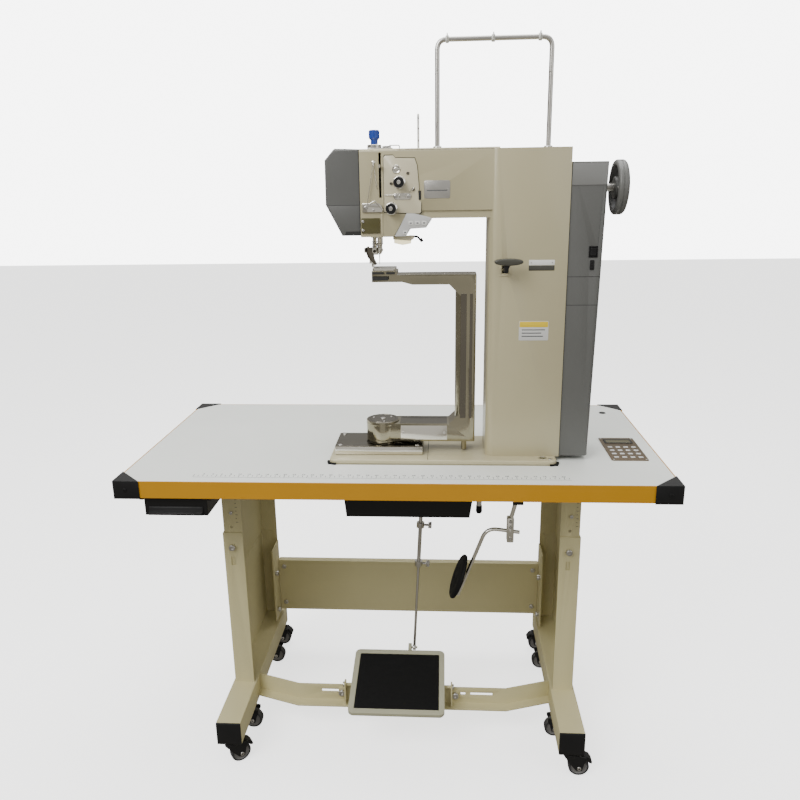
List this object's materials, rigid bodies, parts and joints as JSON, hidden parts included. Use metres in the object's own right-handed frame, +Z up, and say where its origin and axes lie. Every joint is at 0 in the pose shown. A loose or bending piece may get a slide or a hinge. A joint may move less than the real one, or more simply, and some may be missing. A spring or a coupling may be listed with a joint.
{
  "type": "leather sewing machine",
  "caption": "Post-bed leather sewing machine with a swivelling C-shaped post arm on a white table with a height-adjustable stand on casters, treadle and knee lifter.",
  "frame": {"origin": "on the floor, under the middle of the table", "axes": "+Z up, +X to the operator's right along the table, -Y towards the operator"},
  "size_m": [1.204, 0.604, 1.665],
  "materials": {
    "table_laminate": "satin white laminate",
    "band_yellow": "satin mustard edge band",
    "black_plastic": "fine-grained black plastic",
    "stand_beige": "satin beige powder coat",
    "casting_cream": "satin cream paint",
    "cover_grey": "satin grey moulding",
    "polished": "polished",
    "steel": "ground",
    "rubber_black": "matt",
    "cast_paint": "painted",
    "knob_blue": "gloss",
    "caster_grey": "matt",
    "wheel_grey": "painted grey"
  },
  "bodies": {
    "stand": {"leg_frame_left": "stand_beige", "leg_frame_right": "stand_beige", "foot_caps": "black_plastic", "rear_crossbeam": "stand_beige", "treadle_bar": "stand_beige", "stand_fasteners": "steel"},
    "table": {"table_board": "table_laminate", "table_edge_band": "band_yellow", "table_corner_guards": "black_plastic", "table_uprights": "stand_beige", "speed_sensor": "black_plastic", "oil_pan": "black_plastic", "drawer_runners": "black_plastic", "knee_lift_bracket": "black_plastic"},
    "head": {"bed_plate": "casting_cream", "post_base": "polished", "machine_casting": "casting_cream", "face_cover": "cover_grey", "motor_cover": "cover_grey", "thread_stand": "polished"},
    "post": {"post_arm": "polished", "needle_plate": "steel"},
    "treadle": {"treadle_plate": "cast_paint"},
    "pitman_rod": {"pitman_rod_lower": "steel"},
    "pitman_tube": {"pitman_tube_upper": "steel"},
    "speed_lever": {"speed_lever": "steel"},
    "drawer": {"drawer": "black_plastic"},
    "knee_lifter": {"knee_lift_arm": "polished", "knee_pad": "rubber_black"},
    "handwheel": {"handwheel": "wheel_grey"},
    "rotary_hook": {"rotary_hook": "steel"},
    "needle_bar": {"needle_bar": "steel"},
    "take_up": {"take_up_lever": "polished"},
    "presser": {"presser_bar": "polished"},
    "roller": {"roller_foot": "polished"},
    "pressure_knob": {"pressure_knob": "knob_blue"},
    "tension_upper": {"tension_knob_upper": "black_plastic"},
    "tension_lower": {"tension_knob_lower": "black_plastic"},
    "stitch_lever": {"stitch_lever": "black_plastic"},
    "power_switch": {"power_switch": "black_plastic"},
    "caster_1": {"caster_fork_1": "black_plastic"},
    "caster_roll_1": {"caster_wheel_1": "caster_grey"},
    "brake_1": {"brake_lever_1": "black_plastic"},
    "caster_2": {"caster_fork_2": "black_plastic"},
    "caster_roll_2": {"caster_wheel_2": "caster_grey"},
    "caster_3": {"caster_fork_3": "black_plastic"},
    "caster_roll_3": {"caster_wheel_3": "caster_grey"},
    "caster_4": {"caster_fork_4": "black_plastic"},
    "caster_roll_4": {"caster_wheel_4": "caster_grey"},
    "brake_4": {"brake_lever_4": "black_plastic"},
    "caster_5": {"caster_fork_5": "black_plastic"},
    "caster_roll_5": {"caster_wheel_5": "caster_grey"},
    "brake_5": {"brake_lever_5": "black_plastic"},
    "caster_6": {"caster_fork_6": "black_plastic"},
    "caster_roll_6": {"caster_wheel_6": "caster_grey"},
    "caster_7": {"caster_fork_7": "black_plastic"},
    "caster_roll_7": {"caster_wheel_7": "caster_grey"},
    "caster_8": {"caster_fork_8": "black_plastic"},
    "caster_roll_8": {"caster_wheel_8": "caster_grey"},
    "brake_8": {"brake_lever_8": "black_plastic"}
  },
  "joints": [
    {"name": "table_lift", "type": "slide", "parent": "stand", "child": "table", "axis": [0, 0, 1], "range_m": [0, 0.1]},
    {"name": "treadle_tilt", "type": "hinge", "parent": "stand", "child": "treadle", "pos_m": [-0.008, -0.105, 0.133], "axis": [1, 0, 0], "range_deg": [-6, 12], "stiffness_Nm_per_rad": 30},
    {"name": "pitman_swing", "type": "hinge", "parent": "treadle", "child": "pitman_rod", "pos_m": [0.03, 0.00299, 0.17416], "axis": [1, 0, 0], "range_deg": [-13.5, 7]},
    {"name": "pitman_extend", "type": "slide", "parent": "pitman_rod", "child": "pitman_tube", "axis": [0.0523, 0, 0.9986], "range_m": [0, 0.1]},
    {"name": "speed_lever_swing", "type": "hinge", "parent": "table", "child": "speed_lever", "pos_m": [0.055, 0.065, 0.65], "axis": [-1, 0, 0], "range_deg": [-9, 18]},
    {"name": "head_tilt", "type": "hinge", "parent": "table", "child": "head", "pos_m": [0.105, -0.004, 0.775], "axis": [-1, 0, 0], "range_deg": [0, 60]},
    {"name": "drawer_slide", "type": "slide", "parent": "table", "child": "drawer", "axis": [0, -1, 0], "range_m": [0, 0.13]},
    {"name": "knee_lift", "type": "hinge", "parent": "table", "child": "knee_lifter", "pos_m": [0.278, -0.15, 0.687], "axis": [0, -1, 0], "range_deg": [0, 20], "stiffness_Nm_per_rad": 8, "springref_deg": -14.32},
    {"name": "post_swivel", "type": "hinge", "parent": "head", "child": "post", "pos_m": [-0.033, -0.098, 0.9], "axis": [0, 0, 1], "range_deg": [-180, 180]},
    {"name": "handwheel_spin", "type": "hinge", "parent": "head", "child": "handwheel", "pos_m": [0.482, -0.098, 1.367], "axis": [1, 0, 0], "continuous": true},
    {"name": "hook_spin", "type": "hinge", "parent": "post", "child": "rotary_hook", "pos_m": [-0.0135, -0.098, 1.188], "axis": [0, 0, 1], "continuous": true},
    {"name": "needle_stroke", "type": "slide", "parent": "head", "child": "needle_bar", "axis": [0, 0, 1], "range_m": [-0.024, 0.01]},
    {"name": "take_up_swing", "type": "hinge", "parent": "head", "child": "take_up", "pos_m": [-0.024, -0.098, 1.395], "axis": [-1, 0, 0], "range_deg": [-28, 12]},
    {"name": "presser_lift", "type": "slide", "parent": "head", "child": "presser", "axis": [0, 0, 1], "range_m": [0, 0.0095]},
    {"name": "roller_spin", "type": "hinge", "parent": "presser", "child": "roller", "pos_m": [-0.0475, -0.098, 1.2193], "axis": [1, 0, 0], "continuous": true},
    {"name": "pressure_knob_turn", "type": "hinge", "parent": "head", "child": "pressure_knob", "pos_m": [-0.039, -0.098, 1.47], "axis": [0, 0, 1], "range_deg": [-360, 360]},
    {"name": "tension_upper_turn", "type": "hinge", "parent": "head", "child": "tension_upper", "pos_m": [0.016, -0.165, 1.383], "axis": [0, -1, 0], "range_deg": [-360, 360]},
    {"name": "tension_lower_turn", "type": "hinge", "parent": "head", "child": "tension_lower", "pos_m": [-0.001, -0.165, 1.331], "axis": [0, -1, 0], "range_deg": [-360, 360]},
    {"name": "stitch_lever_press", "type": "hinge", "parent": "head", "child": "stitch_lever", "pos_m": [0.237, -0.149, 1.203], "axis": [1, 0, 0], "range_deg": [0, 15], "stiffness_Nm_per_rad": 3, "springref_deg": -8.59},
    {"name": "power_switch_rock", "type": "hinge", "parent": "head", "child": "power_switch", "pos_m": [0.4195, -0.148, 1.238], "axis": [1, 0, 0], "range_deg": [-8, 8]},
    {"name": "caster_1_swivel", "type": "hinge", "parent": "stand", "child": "caster_1", "pos_m": [-0.415, -0.238, 0.058], "axis": [0, 0, 1], "continuous": true},
    {"name": "caster_1_spin", "type": "hinge", "parent": "caster_1", "child": "caster_roll_1", "pos_m": [-0.39862, -0.22653, 0.025], "axis": [-0.5736, 0.8192, 0], "continuous": true},
    {"name": "brake_1_release", "type": "hinge", "parent": "caster_1", "child": "brake_1", "pos_m": [-0.38756, -0.21879, 0.0515], "axis": [0.5736, -0.8192, 0], "range_deg": [0, 20]},
    {"name": "caster_2_swivel", "type": "hinge", "parent": "stand", "child": "caster_2", "pos_m": [-0.415, -0.107, 0.058], "axis": [0, 0, 1], "continuous": true},
    {"name": "caster_2_spin", "type": "hinge", "parent": "caster_2", "child": "caster_roll_2", "pos_m": [-0.395, -0.107, 0.025], "axis": [0, 1, 0], "continuous": true},
    {"name": "caster_3_swivel", "type": "hinge", "parent": "stand", "child": "caster_3", "pos_m": [-0.415, 0.175, 0.058], "axis": [0, 0, 1], "continuous": true},
    {"name": "caster_3_spin", "type": "hinge", "parent": "caster_3", "child": "caster_roll_3", "pos_m": [-0.395, 0.175, 0.025], "axis": [0, 1, 0], "continuous": true},
    {"name": "caster_4_swivel", "type": "hinge", "parent": "stand", "child": "caster_4", "pos_m": [-0.415, 0.266, 0.058], "axis": [0, 0, 1], "continuous": true},
    {"name": "caster_4_spin", "type": "hinge", "parent": "caster_4", "child": "caster_roll_4", "pos_m": [-0.395, 0.266, 0.025], "axis": [0, 1, 0], "continuous": true},
    {"name": "brake_4_release", "type": "hinge", "parent": "caster_4", "child": "brake_4", "pos_m": [-0.3815, 0.266, 0.0515], "axis": [0, -1, 0], "range_deg": [0, 20]},
    {"name": "caster_5_swivel", "type": "hinge", "parent": "stand", "child": "caster_5", "pos_m": [0.415, -0.238, 0.058], "axis": [0, 0, 1], "continuous": true},
    {"name": "caster_5_spin", "type": "hinge", "parent": "caster_5", "child": "caster_roll_5", "pos_m": [0.435, -0.238, 0.025], "axis": [0, 1, 0], "continuous": true},
    {"name": "brake_5_release", "type": "hinge", "parent": "caster_5", "child": "brake_5", "pos_m": [0.4485, -0.238, 0.0515], "axis": [0, -1, 0], "range_deg": [0, 20]},
    {"name": "caster_6_swivel", "type": "hinge", "parent": "stand", "child": "caster_6", "pos_m": [0.415, -0.107, 0.058], "axis": [0, 0, 1], "continuous": true},
    {"name": "caster_6_spin", "type": "hinge", "parent": "caster_6", "child": "caster_roll_6", "pos_m": [0.395, -0.107, 0.025], "axis": [0, -1, 0], "continuous": true},
    {"name": "caster_7_swivel", "type": "hinge", "parent": "stand", "child": "caster_7", "pos_m": [0.415, 0.175, 0.058], "axis": [0, 0, 1], "continuous": true},
    {"name": "caster_7_spin", "type": "hinge", "parent": "caster_7", "child": "caster_roll_7", "pos_m": [0.395, 0.175, 0.025], "axis": [0, -1, 0], "continuous": true},
    {"name": "caster_8_swivel", "type": "hinge", "parent": "stand", "child": "caster_8", "pos_m": [0.415, 0.266, 0.058], "axis": [0, 0, 1], "continuous": true},
    {"name": "caster_8_spin", "type": "hinge", "parent": "caster_8", "child": "caster_roll_8", "pos_m": [0.395, 0.266, 0.025], "axis": [0, -1, 0], "continuous": true},
    {"name": "brake_8_release", "type": "hinge", "parent": "caster_8", "child": "brake_8", "pos_m": [0.3815, 0.266, 0.0515], "axis": [0, 1, 0], "range_deg": [0, 20]}
  ],
  "couplings": [
    {"joint": "pitman_swing", "follows": "treadle_tilt", "ratio": -1.1},
    {"joint": "speed_lever_swing", "follows": "treadle_tilt", "ratio": 1.4},
    {"joint": "pitman_extend", "follows": "table_lift", "ratio": 1},
    {"joint": "take_up_swing", "follows": "needle_stroke", "rad_per_m": 20},
    {"joint": "presser_lift", "follows": "knee_lift", "m_per_rad": 0.0258},
    {"joint": "hook_spin", "follows": "handwheel_spin", "ratio": 2},
    {"joint": "roller_spin", "follows": "handwheel_spin", "ratio": 0.057}
  ]
}
